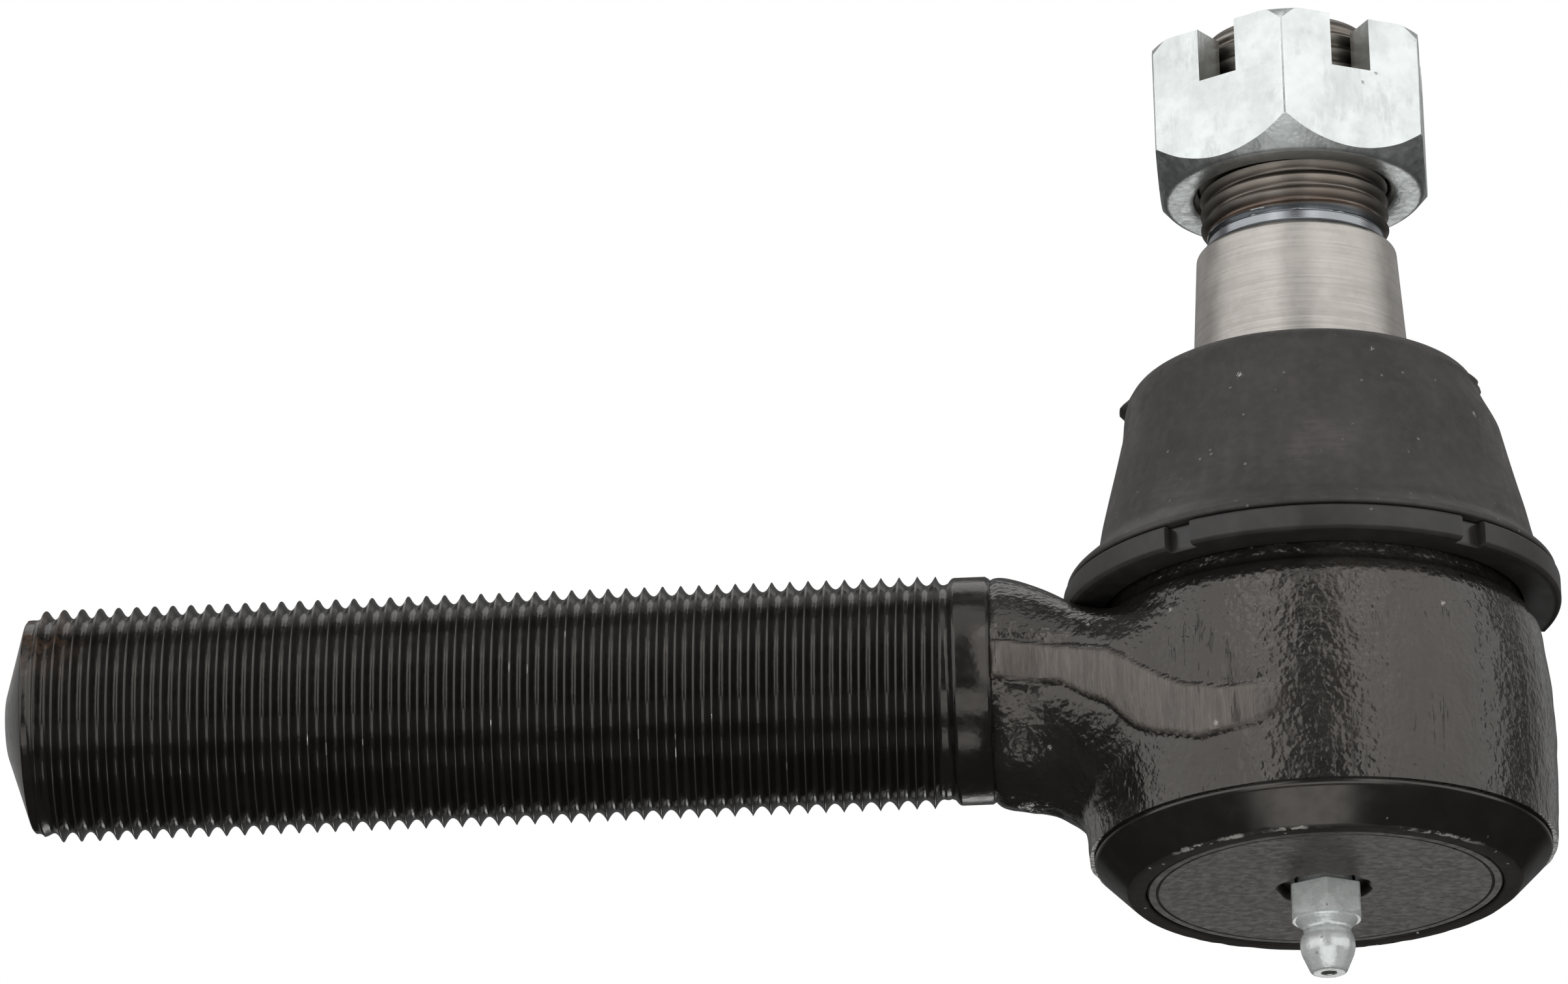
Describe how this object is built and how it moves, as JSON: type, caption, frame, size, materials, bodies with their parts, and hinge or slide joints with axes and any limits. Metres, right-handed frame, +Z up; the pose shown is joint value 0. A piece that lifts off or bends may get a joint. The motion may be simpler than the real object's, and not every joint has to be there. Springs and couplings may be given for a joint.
{
  "type": "tie rod end",
  "caption": "Steering tie rod end: male threaded shank forged to a ball socket, tapered ball stud with slotted nut, dust boot, closure plate and grease fitting.",
  "frame": {"origin": "centre of the ball, on the shank's axis", "axes": "+Z up the ball stud towards its nut, -X out along the threaded shank, Y across"},
  "size_m": [0.1813, 0.0578, 0.1159],
  "materials": {
    "painted_forging": "gloss black paint over rough forging",
    "bearing_steel": "machined, greased",
    "spring_steel": "oil-tempered",
    "seal_rubber": "matte",
    "plate_steel": "satin dark grey-brown",
    "zinc_fitting": "bright zinc plate",
    "bearing_ball": "polished",
    "band_plastic": "satin moulded",
    "boot_rubber": "matte dark grey with mould flash",
    "ring_steel": "plain",
    "ground_steel": "ground taper, rolled thread",
    "zinc_nut": "bright zinc plate"
  },
  "bodies": {
    "housing": {"socket_forging": "painted_forging", "upper_bearing": "bearing_steel", "preload_spring": "spring_steel", "closure_gasket": "seal_rubber", "closure_plate": "plate_steel", "grease_fitting": "zinc_fitting", "grease_fitting_spring": "spring_steel", "boot_retaining_band": "band_plastic"},
    "seat": {"lower_bearing": "bearing_steel"},
    "check_ball": {"grease_fitting_ball": "bearing_ball"},
    "boot": {"dust_boot": "boot_rubber"},
    "boot_neck": {"boot_neck_ring": "ring_steel"},
    "stud": {"ball_stud": "ground_steel"},
    "nut": {"slotted_nut": "zinc_nut"}
  },
  "joints": [
    {"name": "swing_along_shank", "type": "hinge", "parent": "housing", "child": "boot", "pos_m": [0, 0, 0], "axis": [0, 1, 0], "range_deg": [-18, 18], "deforming": ["dust_boot"]},
    {"name": "swing_across_shank", "type": "hinge", "parent": "boot", "child": "boot_neck", "pos_m": [0, 0, 0], "axis": [1, 0, 0], "range_deg": [-18, 18], "deforming": ["dust_boot"]},
    {"name": "stud_spin", "type": "hinge", "parent": "boot_neck", "child": "stud", "pos_m": [0, 0, 0], "axis": [0, 0, 1], "continuous": true},
    {"name": "nut_turn", "type": "hinge", "parent": "stud", "child": "nut", "pos_m": [0, 0, 0.069], "axis": [0, 0, 1], "continuous": true},
    {"name": "seat_take_up", "type": "slide", "parent": "housing", "child": "seat", "axis": [0, 0, -1], "range_m": [0, 0.0008], "stiffness_N_per_m": 4000, "springref_m": -0.005, "deforming": ["preload_spring"]},
    {"name": "check_ball_lift", "type": "slide", "parent": "housing", "child": "check_ball", "axis": [0, 0, 1], "range_m": [0, 0.0006], "stiffness_N_per_m": 200, "springref_m": -0.0005, "deforming": ["grease_fitting_spring"]}
  ]
}
